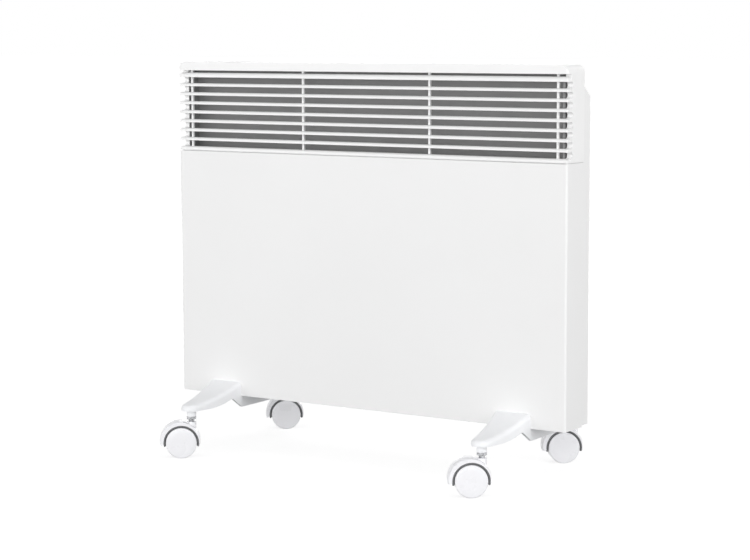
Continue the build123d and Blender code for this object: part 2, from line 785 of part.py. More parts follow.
def at_axle(solid):
    """Move a piece drawn about the origin to the axle."""
    return Pos(trail, 0, wheel_radius) * solid


def castor_stem():
    """Turned steel stem: root in the frame, neck, collar and the pin that turns in the socket."""
    stem = post(stem_neck_radius, stem_root, collar_bottom)
    stem += post(stem_collar_radius, collar_bottom, collar_top)
    return stem + post(stem_pin_radius, collar_top, arm_bottom + stem_pin_depth)


def stem_hole():
    """Cutter for the stem's root."""
    return post(stem_neck_radius + assembly_gap, stem_root - assembly_gap, boss_top + cut_over)


def hood_sector(radius):
    """Round sector that reaches a little below the axle on both sides."""
    far = 2 * radius
    below = Polygon(
        (0, 0),
        (far * math.cos(hood_dip), -far * math.sin(hood_dip)),
        (far, -far),
        (-far, -far),
        (-far * math.cos(hood_dip), -far * math.sin(hood_dip)),
        align=None,
    )
    return Circle(radius) - below


def castor_frame():
    """Dark inner frame: a web between the wheels and a mudguard over each of them."""
    web = Circle(wheel_radius - web_inset) + hood_sector(liner_outer)
    guard = hood_sector(liner_outer) - Circle(liner_inner)
    frame = extrude(Plane.XZ * web, amount=web_half, both=True)
    frame += extrude(Plane.XZ * guard, amount=hood_half - liner_setback, both=True)
    frame -= bar_along_y(axle_radius + assembly_gap, -2 * web_half, 2 * web_half)
    return at_axle(frame) - stem_hole()


def castor_hood():
    """White hood, round and slightly barrelled, with the boss for the stem."""
    low_radius = liner_inner / 2
    edge = hood_edge_radius
    crown = ThreePointArc((edge, -hood_half), (edge + hood_crown, 0), (edge, hood_half))
    profile = make_face(crown + Polyline((edge, hood_half), (low_radius, hood_half),
                                         (low_radius, -hood_half), (edge, -hood_half)))
    shell = revolve(Rot(0, hood_dip_deg, 0) * profile, axis=Axis((0, 0, 0), (0, -1, 0)),
                    revolution_arc=180 + 2 * hood_dip_deg)
    shell = at_axle(Pos(hood_offset, 0, hood_offset) * shell)
    boss = post(boss_radius, wheel_radius, boss_top)
    return shell + boss - at_axle(bar_along_y(hood_inner, -2 * hood_half, 2 * hood_half)) - stem_hole()


def castor_axle():
    """Steel pin through the frame that carries both wheels."""
    reach = wheel_bore_end - side_play
    return at_axle(bar_along_y(axle_radius, -reach, reach))


def castor_wheel():
    """Wheel with a rim, a hub on the axle and a plain crowned outer disc, for the +Y side."""
    bore = axle_radius + running_gap
    face_edge = wheel_face_reach - wheel_face_crown
    edge_radius = wheel_radius - wheel_edge_round
    inside = wheel_bore_end - wheel_bore_step
    outline = Polyline(
        (wheel_face_flat, wheel_face_reach),
        (0, wheel_face_reach),
        (0, wheel_bore_end),
        (bore, wheel_bore_end),
        (bore, wheel_inner_face),
        (wheel_hub_radius, wheel_inner_face),
        (wheel_hub_radius, inside),
        (wheel_radius - wheel_rim_wall, inside),
        (wheel_radius - wheel_rim_wall, wheel_inner_face),
        (wheel_radius, wheel_inner_face),
        (wheel_radius, face_edge - wheel_edge_round),
        (edge_radius, face_edge),
    )
    outline += TangentArc((wheel_face_flat, wheel_face_reach), (edge_radius, face_edge), tangent=(1, 0))
    return revolve(make_face(outline), axis=Axis.Y)


# All pieces, first with Y = 0 on the panel's face

right_foot = foot()
right_bracket = element_bracket()
right_bush = element_bush()
pieces = {
    "front_panel": front_panel(),
    "outlet_grille": outlet_grille(),
    "rear_casing": rear_casing(),
    "air_deflector": air_deflector(),
    "heating_element": heating_element(),
    "element_rod": element_rod(),
    "left_element_bracket": mirrored(right_bracket),
    "right_element_bracket": right_bracket,
    "left_element_bush": mirrored(right_bush),
    "right_element_bush": right_bush,
    "thermal_cutout": thermal_cutout(),
    "thermostat_body": thermostat_body(),
    "thermostat_spindle": thermostat_spindle(),
    "thermostat_knob": thermostat_knob(),
    "switch_frame": switch_frame(),
    "rocker_switch": rocker_switch(),
    "indicator_lens": indicator_lens(),
    "terminal_block": terminal_block(),
    "cable_gland": cable_gland(),
    "air_sensor": air_sensor(),
    "left_foot": Pos(-foot_x, 0, 0) * right_foot,
    "right_foot": Pos(foot_x, 0, 0) * right_foot,
    "foot_screws": screws_at(foot_screw_places(), casing_bottom - foot_roof - screw_head_height),
    "case_screws": screws_at(case_screw_places(), body_bottom - screw_head_height),
}

castor_places = {
    "front_left": (-foot_x, front_stem_y),
    "front_right": (foot_x, front_stem_y),
    "rear_left": (-foot_x, rear_stem_y),
    "rear_right": (foot_x, rear_stem_y),
}
wheel = castor_wheel()
castor_pieces = {
    "stem": castor_stem(),
    "frame": castor_frame(),
    "hood": castor_hood(),
    "axle": castor_axle(),
    "wheel_a": at_axle(wheel),
    "wheel_b": at_axle(Rot(0, 0, 180) * wheel),
}
socket = castor_socket()
for corner, (x, y) in castor_places.items():
    pieces[f"{corner}_socket"] = Pos(x, y, 0) * socket
    for name, solid in castor_pieces.items():
        pieces[f"{corner}_{name}"] = Pos(x, y, 0) * Rot(0, 0, swivel_rest_deg) * solid

# The origin goes to the middle of the outline on the floor
limits = [solid.bounding_box() for solid in pieces.values()]
middle_y = (min(box.min.Y for box in limits) + max(box.max.Y for box in limits)) / 2

os.makedirs("parts", exist_ok=True)
for name, solid in pieces.items():
    export_step(Pos(0, -middle_y, 0) * solid, f"parts/{name}.step")
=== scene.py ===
import json
import math

import bpy
from bpy.props import FloatProperty, FloatVectorProperty, IntProperty, PointerProperty
from mathutils import Matrix, Vector
from mathutils.bvhtree import BVHTree


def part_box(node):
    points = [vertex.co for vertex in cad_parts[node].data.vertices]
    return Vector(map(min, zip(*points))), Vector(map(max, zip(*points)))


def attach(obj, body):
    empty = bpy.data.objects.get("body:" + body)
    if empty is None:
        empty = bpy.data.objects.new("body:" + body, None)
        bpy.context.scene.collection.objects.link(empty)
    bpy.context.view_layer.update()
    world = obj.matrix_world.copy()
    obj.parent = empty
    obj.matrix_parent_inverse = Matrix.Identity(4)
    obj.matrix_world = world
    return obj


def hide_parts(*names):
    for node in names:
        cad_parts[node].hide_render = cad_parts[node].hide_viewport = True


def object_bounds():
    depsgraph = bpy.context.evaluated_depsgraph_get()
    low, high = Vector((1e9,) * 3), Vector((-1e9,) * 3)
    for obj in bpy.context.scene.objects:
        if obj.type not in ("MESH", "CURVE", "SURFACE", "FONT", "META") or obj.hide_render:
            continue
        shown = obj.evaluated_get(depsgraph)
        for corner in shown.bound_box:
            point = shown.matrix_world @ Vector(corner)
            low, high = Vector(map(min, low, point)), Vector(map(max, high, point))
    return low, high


bl_info = {
    "name": "Panel convector heater",
    "version": (1, 0, 0),
    "blender": (4, 5, 0),
    "location": "3D View > Sidebar > Heater",
    "description": "Finishes, small details and studio of a panel convector on castors",
    "category": "Object",
}

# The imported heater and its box. Metres: X right, Y to the rear, Z up from the floor.
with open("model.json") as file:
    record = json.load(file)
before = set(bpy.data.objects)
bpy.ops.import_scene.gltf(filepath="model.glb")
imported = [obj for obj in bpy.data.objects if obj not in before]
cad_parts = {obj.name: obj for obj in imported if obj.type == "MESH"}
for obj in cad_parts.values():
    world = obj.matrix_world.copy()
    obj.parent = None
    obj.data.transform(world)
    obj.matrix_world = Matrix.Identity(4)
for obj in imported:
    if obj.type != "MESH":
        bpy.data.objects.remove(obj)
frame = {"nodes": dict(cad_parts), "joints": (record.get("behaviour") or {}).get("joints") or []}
cad_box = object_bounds()

MM = 0.001
CORNERS = ("front_left", "front_right", "rear_left", "rear_right")
IMAGE_WIDTH_PX = 750
CAPITAL_SHARE = 0.69        # height of a capital in the built-in font at size 1
NOISE_SPREAD = (0.3, 0.7)   # values between which most of a noise lies
ROUND_SIDES = 32            # sides of a screw's round parts
FLOOR_REACH = 30.0          # half the floor's width, beyond the view
LAMPS = (
    # name, place, and width by height, in metres
    ("front", (0.6, -3.0, 0.7), (3.2, 1.4)),
    ("left", (-2.2, -2.0, 1.0), (2.4, 2.0)),
    ("right", (2.9, -0.3, 1.0), (2.6, 2.0)),
    ("rear", (-0.8, 3.0, 1.0), (3.2, 2.0)),
)


def linear_rgba(code):
    """Linear RGBA of an sRGB hex colour."""
    channels = [int(code[start:start + 2], 16) / 255 for start in (1, 3, 5)]
    linear = [c / 12.92 if c <= 0.04045 else ((c + 0.055) / 1.055) ** 2.4 for c in channels]
    return (*linear, 1.0)


def colour(name, description, code):
    """Colour property with an sRGB hex default."""
    return FloatVectorProperty(name=name, description=description, subtype="COLOR", size=4,
                               min=0.0, max=1.0, default=linear_rgba(code))


def length(name, description, millimetres):
    """Length property with a default in millimetres."""
    return FloatProperty(name=name, description=description, unit="LENGTH", min=0.0,
                         precision=5, default=millimetres * MM)


def power(name, description, watts):
    """Lamp power property."""
    return FloatProperty(name=name, description=description, unit="POWER", min=0.0, default=watts)


class HeaterColours(bpy.types.PropertyGroup):
    """Colours of the heater's finishes."""

    enamel: colour("Enamel", "Powder coat of the front panel and the casing", "#EFEFEF")
    grille: colour("Grille", "Heat-proof plastic of the louvres", "#F3F3F3")
    foot: colour("Foot", "Moulded plastic of the feet and castor sleeves", "#F4F5F7")
    castor: colour("Castor", "Polished plastic of the hoods and wheels", "#F4F4F7")
    # The frame's dark grey is what draws the dark ring in the gap round each wheel.
    castor_frame: colour("Castor frame", "Grey nylon between the wheels", "#606163")
    # The grey of the sheet behind the louvres is set dark so that it also paints the shade seen inside the
    # slots.
    deflector_coat_and_shade: colour("Deflector", "Grey coat of the sheet behind the louvres", "#8B8B8B")
    aluminium: colour("Aluminium", "Extruded heating element", "#C9CACC")
    steel: colour("Steel", "Nickel-plated stems, axles and spindle", "#DEDFE2")
    zinc: colour("Zinc", "Zinc-plated screws and brackets", "#B4B8BC")
    silicone: colour("Silicone", "Insulating bushes of the element", "#8C3B2A")
    black: colour("Black", "Black moulded plastic of switch, gland and thermostat", "#1C1C1D")
    nylon: colour("Nylon", "Natural nylon of the terminal strip and the probe", "#E4E2DA")
    amber: colour("Amber", "Clear amber pilot lens", "#E8892B")
    marking: colour("Marking", "Grey ink of the dial's marks", "#5A5C5E")
    switch_mark: colour("Switch mark", "White ink of the signs on the rocker", "#E6E6E6")


class HeaterSizes(bpy.types.PropertyGroup):
    """Sizes of the surface textures and of the small added details."""

    enamel_ripple: length("Enamel ripple", "Width of the powder coat's orange peel", 2.4)
    # The same bands also carry the painted dark reflections on the nickel.
    moulded_grain: length("Moulded grain", "Width of the spark-eroded grain on plastic", 1.1)
    turning_and_reflection_band: length("Turning pitch", "Width of the turned bands on the stems", 1.6)
    extrusion_streak: length("Extrusion streak", "Width of the streaks along the element", 0.7)
    screw_head: length("Screw head", "Height of a screw's head", 2.2)
    screw_shank: length("Screw shank", "Radius of a screw's shank", 2.0)
    screw_crown: length("Screw crown", "Radius of the flat on a screw's head", 2.9)
    recess_span: length("Recess span", "Length of a screw's cross recess", 4.2)
    recess_width: length("Recess width", "Width of a screw's cross recess", 0.9)
    recess_depth: length("Recess depth", "Depth of a screw's cross recess", 1.1)
    dial_gap: length("Dial gap", "Knob's side to the dial's ticks", 0.9)
    tick_length: length("Tick length", "Length of a dial tick", 1.1)
    tick_width: length("Tick width", "Width of a dial tick", 0.35)
    tick_count: IntProperty(name="Tick count", description="Ticks round the dial", min=2, default=11)
    numeral_height: length("Numeral height", "Height of the dial's numbers", 2.4)
    switch_mark_height: length("Switch mark height", "Height of the marks on the rocker", 3.4)
    ink_height: length("Ink height", "Thickness of printed marks", 0.06)


class HeaterStage(bpy.types.PropertyGroup):
    """Camera and light of the studio."""

    focal_px: FloatProperty(name="Focal length", description="Focal length in image pixels",
                            default=2076.17)
    yaw: FloatProperty(name="Yaw", description="Camera's turn to the left from straight ahead",
                       subtype="ANGLE", default=math.radians(32.84))
    pitch: FloatProperty(name="Pitch", description="Camera's tilt below the horizon",
                         subtype="ANGLE", default=math.radians(6.93))
    roll: FloatProperty(name="Roll", description="Camera's roll about its axis",
                        subtype="ANGLE", default=math.radians(-0.19))
    place: FloatVectorProperty(name="Place", description="Camera's place", unit="LENGTH", size=3,
                               default=(1.42938, -2.21895, 0.55558))
    ambient: FloatProperty(name="Ambient", description="Strength of the white surroundings", default=0.25)
    front: power("Front", "Power of the front light", 51.0)
    left: power("Left", "Power of the light from the left", 30.0)
    right: power("Right", "Power of the light from the right", 52.0)
    rear: power("Rear", "Power of the light from behind", 56.0)
    floor: colour("Floor", "Pale floor under the heater", "#A4A4A4")
    near_lift: FloatProperty(name="Near lift", description="Light that the near floor adds for the viewer",
                             default=0.76)
    far_lift: FloatProperty(name="Far lift", description="Light that the far floor adds for the viewer",
                            default=0.92)
    lamp_reach: FloatProperty(name="Lamp reach", description="Distance at which the floor counts as far",
                              unit="LENGTH", default=3.0)


class HeaterSettings(bpy.types.PropertyGroup):
    """All settings of the heater."""

    colours: PointerProperty(type=HeaterColours)
    sizes: PointerProperty(type=HeaterSizes)
    stage: PointerProperty(type=HeaterStage)


def settings():
    """The scene's heater settings."""
    return bpy.context.scene.heater


def joint(name):
    """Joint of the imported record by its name."""
    return next(row for row in frame["joints"] if row["name"] == name)


# Shader helpers

def add_node(tree, kind, inputs=None, **options):
    """Add a node, set its options, and set or link its inputs."""
    node = tree.nodes.new(kind)
    for name, value in options.items():
        setattr(node, name, value)
    for key, value in (inputs or {}).items():
        if isinstance(value, bpy.types.NodeSocket):
            tree.links.new(value, node.inputs[key])
        else:
            node.inputs[key].default_value = value
    return node


def start_material(name, inputs):
    """New material with a Principled shader: its tree, shader and Object coordinates."""
    material = bpy.data.materials.new(name)
    material.use_nodes = True
    tree = material.node_tree
    tree.nodes.clear()
    shader = add_node(tree, "ShaderNodeBsdfPrincipled", inputs)
    add_node(tree, "ShaderNodeOutputMaterial", {"Surface": shader.outputs["BSDF"]})
    place = add_node(tree, "ShaderNodeTexCoord").outputs["Object"]
    return material, tree, shader, place


def noise(tree, place, width, detail=3.0):
    """Noise whose lumps are about one width across."""
    return add_node(tree, "ShaderNodeTexNoise",
                    {"Vector": place, "Scale": 1 / width, "Detail": detail}).outputs["Fac"]


def vary(tree, shader, socket, factor, values):
    """Let a shader socket run between two values with a factor of 0 to 1."""
    low, high = values
    spread = add_node(tree, "ShaderNodeMapRange",
                      {"Value": factor, "From Min": NOISE_SPREAD[0], "From Max": NOISE_SPREAD[1],
                       "To Min": low, "To Max": high})
    tree.links.new(spread.outputs["Result"], shader.inputs[socket])


def tint(tree, shader, factor, base, darker):
    """Base colour that runs down to a darker share of itself with a factor of 0 to 1."""
    dark = (*(channel * darker for channel in base[:3]), 1.0)
    ramp = add_node(tree, "ShaderNodeValToRGB", {"Fac": factor})
    for stop, position, shade in zip(ramp.color_ramp.elements, NOISE_SPREAD, (dark, tuple(base))):
        stop.position = position
        stop.color = shade
    tree.links.new(ramp.outputs["Color"], shader.inputs["Base Color"])


def relief(tree, shader, height, depth):
    """Bump of a real depth from a height of 0 to 1."""
    bump = add_node(tree, "ShaderNodeBump", {"Height": height, "Distance": depth, "Strength": 1.0})
    tree.links.new(bump.outputs["Normal"], shader.inputs["Normal"])


# Materials

def powder_coated_steel():
    """Satin white powder coat on folded steel sheet.

    The coat flows into a faint orange peel, so highlights break up softly and the white
    drifts a little over a hand's width. Real peel is finer than a pixel and is drawn wider.
    """
    base = settings().colours.enamel
    peel = settings().sizes.enamel_ripple
    material, tree, shader, place = start_material("powder_coated_steel", {"IOR": 1.5})
    tint(tree, shader, noise(tree, place, width=180 * MM), base, darker=0.985)
    vary(tree, shader, "Roughness", noise(tree, place, width=40 * MM), values=(0.44, 0.54))
    relief(tree, shader, noise(tree, place, width=peel), depth=0.03 * MM)
    return material


def moulded_plastic(name, base, roughness, depth):
    """Moulded plastic or rubber with a spark-eroded grain.

    The grain from the mould takes the edge off reflections; flow in the mould leaves
    slow changes of tone and sheen. Real grain is finer than a pixel and is drawn wider.
    """
    grain = settings().sizes.moulded_grain
    material, tree, shader, place = start_material(name, {"IOR": 1.53})
    tint(tree, shader, noise(tree, place, width=60 * MM), base, darker=0.98)
    vary(tree, shader, "Roughness", noise(tree, place, width=25 * MM), values=roughness)
    relief(tree, shader, noise(tree, place, width=grain, detail=2.0), depth)
    return material


def matt_grey_coat():
    """Matt grey stove coat on the sheet behind the louvres: dull, with a dusty drift of tone, and a grey
    set dark so that it also paints the shade seen through the slots.
    """
    base = settings().colours.deflector_coat_and_shade
    material, tree, shader, place = start_material("matt_grey_coat", {"IOR": 1.5})
    tint(tree, shader, noise(tree, place, width=30 * MM), base, darker=0.94)
    vary(tree, shader, "Roughness", noise(tree, place, width=12 * MM), values=(0.62, 0.78))
    relief(tree, shader, noise(tree, place, width=1.5 * MM), depth=0.02 * MM)
    return material


def metal(name, base, darker, stretch, width, roughness, depth):
    """Bare or plated metal whose fine marks are stretched along one axis; where the darker share is set
    low, the marks also paint dark reflections.
    """
    material, tree, shader, place = start_material(name, {"Metallic": 1.0})
    marks = add_node(tree, "ShaderNodeMapping", {"Vector": place, "Scale": stretch}).outputs["Vector"]
    marks_and_reflections = noise(tree, marks, width, detail=4.0)
    tint(tree, shader, marks_and_reflections, base, darker)
    vary(tree, shader, "Roughness", marks_and_reflections, values=roughness)
    relief(tree, shader, marks_and_reflections, depth)
    return material


def nickel_plated_steel():
    """Turned steel under bright nickel: mirror-like, with broken light and dark bands of painted
    reflection.

    The tool leaves rings finer than a pixel, so they are drawn wider, as short bands in bump and sheen;
    their deep dark share paints the reflections.
    """
    pitch = settings().sizes.turning_and_reflection_band
    # The deep darker share paints the dark reflections of the surroundings on the mirror-like nickel.
    return metal("nickel_plated_steel", settings().colours.steel, darker=0.25, stretch=(0.45, 0.45, 1.0),
                 width=pitch, roughness=(0.12, 0.24), depth=0.012 * MM)


def zinc_plated_steel():
    """Pressed steel under zinc: cool grey with a soft, slightly cloudy shine."""
    return metal("zinc_plated_steel", settings().colours.zinc, darker=0.86, stretch=(1.0, 1.0, 1.0),
                 width=3 * MM, roughness=(0.3, 0.45), depth=0.01 * MM)


def extruded_aluminium():
    """Mill-finish aluminium with streaks along the extrusion."""
    streak = settings().sizes.extrusion_streak
    return metal("extruded_aluminium", settings().colours.aluminium, darker=0.86, stretch=(0.02, 1.0, 1.0),
                 width=streak, roughness=(0.32, 0.5), depth=0.02 * MM)


def clear_amber_plastic():
    """Clear acrylic lens dyed amber: glossy and light-passing, with faint flow clouds."""
    base = settings().colours.amber
    material, tree, shader, place = start_material(
        "clear_amber_acrylic", {"IOR": 1.49, "Transmission Weight": 0.6})
    tint(tree, shader, noise(tree, place, width=4 * MM), base, darker=0.85)
    vary(tree, shader, "Roughness", noise(tree, place, width=2 * MM), values=(0.05, 0.12))
    relief(tree, shader, noise(tree, place, width=1 * MM), depth=0.01 * MM)
    return material


def pad_print(name, base):
    """Pad-printed ink: matt, and a little uneven in its cover."""
    material, tree, shader, place = start_material(name, {"IOR": 1.5})
    tint(tree, shader, noise(tree, place, width=0.6 * MM), base, darker=0.8)
    vary(tree, shader, "Roughness", noise(tree, place, width=0.4 * MM), values=(0.5, 0.65))
    return material


def dress(nodes, material):
    """Give CAD nodes a finish through their material slots."""
    for name in nodes:
        for holder in frame["nodes"][name].material_slots:
            holder.material = material


# Geometry node helpers

def new_tree(name, sizes):
    """Geometry tree that works on a mesh of points: the tree and its inputs."""
    tree = bpy.data.node_groups.new(name, "GeometryNodeTree")
    tree.interface.new_socket("Geometry", in_out="OUTPUT", socket_type="NodeSocketGeometry")
    tree.interface.new_socket("Points", in_out="INPUT", socket_type="NodeSocketGeometry")
    for label, value in sizes.items():
        kind = "NodeSocketInt" if isinstance(value, int) else "NodeSocketFloat"
        tree.interface.new_socket(label, in_out="INPUT", socket_type=kind)
    return tree, add_node(tree, "NodeGroupInput").outputs


def end_tree(tree, geometry, material):
    """Realize the instances, set the material and give the geometry out."""
    real = add_node(tree, "GeometryNodeRealizeInstances", {"Geometry": geometry}).outputs["Geometry"]
    done = add_node(tree, "GeometryNodeSetMaterial", {"Geometry": real, "Material": material})
    add_node(tree, "NodeGroupOutput", {"Geometry": done.outputs["Geometry"]})


def joined(tree, parts):
    """One geometry of several parts."""
    join = add_node(tree, "GeometryNodeJoinGeometry")
    for geometry in parts:
        tree.links.new(geometry, join.inputs["Geometry"])
    return join.outputs["Geometry"]


def total(tree, *values):
    """Sum of sockets or numbers in a tree."""
    result = values[0]
    for value in values[1:]:
        result = add_node(tree, "ShaderNodeMath", {0: result, 1: value}, operation="ADD").outputs[0]
    return result


def new_piece(name, mesh):
    """Object at the origin with a mesh."""
    piece = bpy.data.objects.new(name, mesh)
    bpy.context.scene.collection.objects.link(piece)
    return piece


def plain_mesh(piece):
    """Mesh of a piece with its modifiers, or of a text, as a copy of its own."""
    graph = bpy.context.evaluated_depsgraph_get()
    return bpy.data.meshes.new_from_object(piece.evaluated_get(graph), depsgraph=graph)


def grow(name, tree, sizes, points=((0, 0, 0),)):
    """Run a tree with its sizes on some points and keep the result as a plain mesh."""
    seed = bpy.data.meshes.new(name)
    seed.from_pydata([tuple(point) for point in points], [], [])
    piece = new_piece(name, seed)
    modifier = piece.modifiers.new("Grow", "NODES")
    modifier.node_group = tree
    for socket in tree.interface.items_tree:
        if socket.in_out == "INPUT" and socket.name in sizes:
            modifier[socket.identifier] = sizes[socket.name]
    mesh = plain_mesh(piece)
    piece.modifiers.remove(modifier)
    piece.data = mesh
    bpy.data.meshes.remove(seed)
    mesh.name = name
    return piece


def keep(piece, body):
    """Let a finished piece ride on a body."""
    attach(piece, body)


# Small details

def round_bar(tree, low_radius, high_radius, start, depth):
    """Round bar or taper that stands on a height in a tree."""
    cone = add_node(tree, "GeometryNodeMeshCone",
                    {"Vertices": ROUND_SIDES, "Radius Bottom": low_radius, "Radius Top": high_radius,
                     "Depth": depth})
    lift = add_node(tree, "ShaderNodeCombineXYZ", {"Z": start})
    return add_node(tree, "GeometryNodeTransform",
                    {"Geometry": cone.outputs["Mesh"], "Translation": lift.outputs[0]}).outputs["Geometry"]


def cuboid(tree, x, y, z):
    """Box about the origin in a tree."""
    size = add_node(tree, "ShaderNodeCombineXYZ", {"X": x, "Y": y, "Z": z})
    return add_node(tree, "GeometryNodeMeshCube", {"Size": size.outputs[0]}).outputs["Mesh"]


def screw_tree(sizes, material):
    """Pan-head screw with a cross recess that points up from each point."""
    tree, size = new_tree("cross_head_screw", sizes)
    half_head = add_node(tree, "ShaderNodeMath", {0: size["Head Height"], 1: 0.5},
                         operation="MULTIPLY").outputs[0]
    crown = round_bar(tree, size["Crown Radius"], size["Head Radius"], 0.0, half_head)
    rim = round_bar(tree, size["Head Radius"], size["Head Radius"], half_head, half_head)
    shank = round_bar(tree, size["Shank Radius"], size["Shank Radius"], size["Head Height"],
                      size["Shank Length"])
    cut = total(tree, size["Recess Depth"], size["Recess Depth"])
    cross = joined(tree, (cuboid(tree, size["Recess Span"], size["Recess Width"], cut),
                          cuboid(tree, size["Recess Width"], size["Recess Span"], cut)))
    plain_screw = joined(tree, (crown, rim, shank))
    screw = add_node(tree, "GeometryNodeMeshBoolean",
                     {"Mesh 1": plain_screw, "Mesh 2": cross, "Self Intersection": True},
                     operation="DIFFERENCE", solver="EXACT")
    all_screws = add_node(tree, "GeometryNodeInstanceOnPoints",
                          {"Points": size["Points"], "Instance": screw.outputs["Mesh"]})
    end_tree(tree, all_screws.outputs["Instances"], material)
    return tree


def screw_places(node, head_radius):
    """Lowest point of every screw of a CAD node whose screws stand in one row along X."""
    low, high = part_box(node)
    places = sorted(vertex.co.x for vertex in frame["nodes"][node].data.vertices)
    starts = [places[0]] + [x for last, x in zip(places, places[1:]) if x - last > head_radius]
    return [(x + head_radius, (low.y + high.y) / 2, low.z) for x in starts]


def dial_tree(sizes, material):
    """Ring of ticks about the origin, with each tick along a radius."""
    tree, size = new_tree("dial_ticks", sizes)
    arc = add_node(tree, "GeometryNodeCurveArc",
                   {"Resolution": size["Count"], "Radius": size["Radius"], "Start Angle": size["Start"],
                    "Sweep Angle": size["Sweep"]})
    tangent = add_node(tree, "GeometryNodeInputTangent").outputs["Tangent"]
    turn = add_node(tree, "FunctionNodeAlignRotationToVector", {"Vector": tangent},
                    axis="Y", pivot_axis="Z")
    tick = cuboid(tree, size["Tick Length"], size["Tick Width"], size["Ink Height"])
    ticks = add_node(tree, "GeometryNodeInstanceOnPoints",
                     {"Points": arc.outputs["Curve"], "Instance": tick,
                      "Rotation": turn.outputs["Rotation"]})
    end_tree(tree, ticks.outputs["Instances"], material)
    return tree


def upright_place(origin, normal, along):
    """Matrix of a place on a surface: x follows a direction, z the surface's normal."""
    z = normal.normalized()
    y = z.cross(along).normalized()
    x = y.cross(z)
    turn = Matrix((x, y, z)).transposed().to_4x4()
    return Matrix.Translation(origin) @ turn


def printed_text(name, words, height, place, material):
    """Generic sign as a thin mesh, centred on a place."""
    font = bpy.data.curves.new(name, "FONT")
    font.body = words
    font.size = height / CAPITAL_SHARE
    font.align_x = "CENTER"
    font.align_y = "CENTER"
    font.extrude = settings().sizes.ink_height / 2
    text = new_piece(name, font)
    mesh = plain_mesh(text)
    bpy.data.objects.remove(text)
    bpy.data.curves.remove(font)
    mesh.transform(place)
    mesh.materials.clear()
    mesh.materials.append(material)
    mesh.name = name
    return new_piece(name, mesh)


def surface_under(node, point, direction):
    """Place and outward normal where a ray first meets a CAD node."""
    mesh = frame["nodes"][node].data
    tree = BVHTree.FromPolygons([vertex.co for vertex in mesh.vertices],
                                [face.vertices[:] for face in mesh.polygons])
    place, normal, _, _ = tree.ray_cast(point, direction)
    if place is None:
        raise RuntimeError(f"no surface of {node} under {tuple(point)}")
    return place, normal


def print_dial():
    """Ticks round the thermostat's knob, with a number at both ends of its turn."""
    detail = settings().sizes
    turn = joint("thermostat_turn")
    outwards = -Vector(turn["axis"])
    dial = upright_place(Vector(turn["pos_m"]), outwards, Vector((1, 0, 0)))
    low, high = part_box("thermostat_knob")
    radius = (high.x - low.x) / 2 + detail.dial_gap + detail.tick_length / 2
    sweep = math.radians(turn["range_deg"][1] - turn["range_deg"][0])
    first = math.pi / 2 + sweep / 2
    sizes = {
        "Count": detail.tick_count,
        "Radius": radius,
        "Start": first,
        "Sweep": -sweep,
        "Tick Length": detail.tick_length,
        "Tick Width": detail.tick_width,
        "Ink Height": detail.ink_height,
    }
    ink = pad_print("grey_pad_print", settings().colours.marking)
    ticks = grow("dial_ticks", dial_tree(sizes, ink), sizes)
    ticks.data.transform(dial)
    keep(ticks, "heater")
    reach = radius + detail.tick_length / 2 + detail.numeral_height / 2
    for words, angle in (("1", first), ("6", first - sweep)):
        spot = dial @ Matrix.Translation((reach * math.cos(angle), reach * math.sin(angle), 0))
        keep(printed_text(f"dial_number_{words}", words, detail.numeral_height, spot, ink),
             "heater")


def print_rocker():
    """On and off signs on the two faces of the rocker."""
    detail = settings().sizes
    paint = pad_print("white_pad_print", settings().colours.switch_mark)
    low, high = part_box("rocker_switch")
    outwards = -Vector(joint("thermostat_turn")["axis"])
    pivot = Vector(joint("power_rock")["pos_m"])
    reach = (high.x - low.x) / 4
    for name, words, side in (("rocker_on", "I", 1), ("rocker_off", "O", -1)):
        above = pivot + Vector((side * reach, 0, 0)) + (high.z - low.z) * outwards
        place, normal = surface_under("rocker_switch", above, -outwards)
        spot = upright_place(place, normal, Vector((1, 0, 0)))
        keep(printed_text(name, words, detail.switch_mark_height, spot, paint),
             "power_rocker")


# Stage

def seen_directly(tree):
    """1 for what the viewer, a mirror or clear plastic sees, else 0."""
    ray = add_node(tree, "ShaderNodeLightPath").outputs
    some = add_node(tree, "ShaderNodeMath", {0: ray["Is Camera Ray"], 1: ray["Is Glossy Ray"]},
                    operation="MAXIMUM").outputs[0]
    return add_node(tree, "ShaderNodeMath", {0: some, 1: ray["Is Transmission Ray"]},
                    operation="MAXIMUM").outputs[0]


def build_floor(stage):
    """Wide pale floor that looks white in the open and keeps the heater's shadow.

    The lamps light it near the heater, so what it adds for the viewer grows with the distance.
    """
    mesh = bpy.data.meshes.new("floor")
    corners = [(x * FLOOR_REACH, y * FLOOR_REACH, 0) for x, y in ((-1, -1), (1, -1), (1, 1), (-1, 1))]
    mesh.from_pydata(corners, [], [(0, 1, 2, 3)])
    floor = new_piece("floor", mesh)
    material = bpy.data.materials.new("pale_floor")
    material.use_nodes = True
    tree = material.node_tree
    tree.nodes.clear()
    paint = add_node(tree, "ShaderNodeBsdfDiffuse", {"Color": stage.floor})
    place = add_node(tree, "ShaderNodeTexCoord").outputs["Object"]
    distance = add_node(tree, "ShaderNodeVectorMath", {0: place}, operation="LENGTH").outputs["Value"]
    level = add_node(tree, "ShaderNodeMapRange",
                     {"Value": distance, "From Max": stage.lamp_reach, "To Min": stage.near_lift,
                      "To Max": stage.far_lift}).outputs["Result"]
    lift = add_node(tree, "ShaderNodeMath", {0: seen_directly(tree), 1: level}, operation="MULTIPLY")
    glow = add_node(tree, "ShaderNodeEmission", {"Strength": lift.outputs[0]})
    both = add_node(tree, "ShaderNodeAddShader", {0: paint.outputs[0], 1: glow.outputs[0]})
    add_node(tree, "ShaderNodeOutputMaterial", {"Surface": both.outputs[0]})
    mesh.materials.append(material)


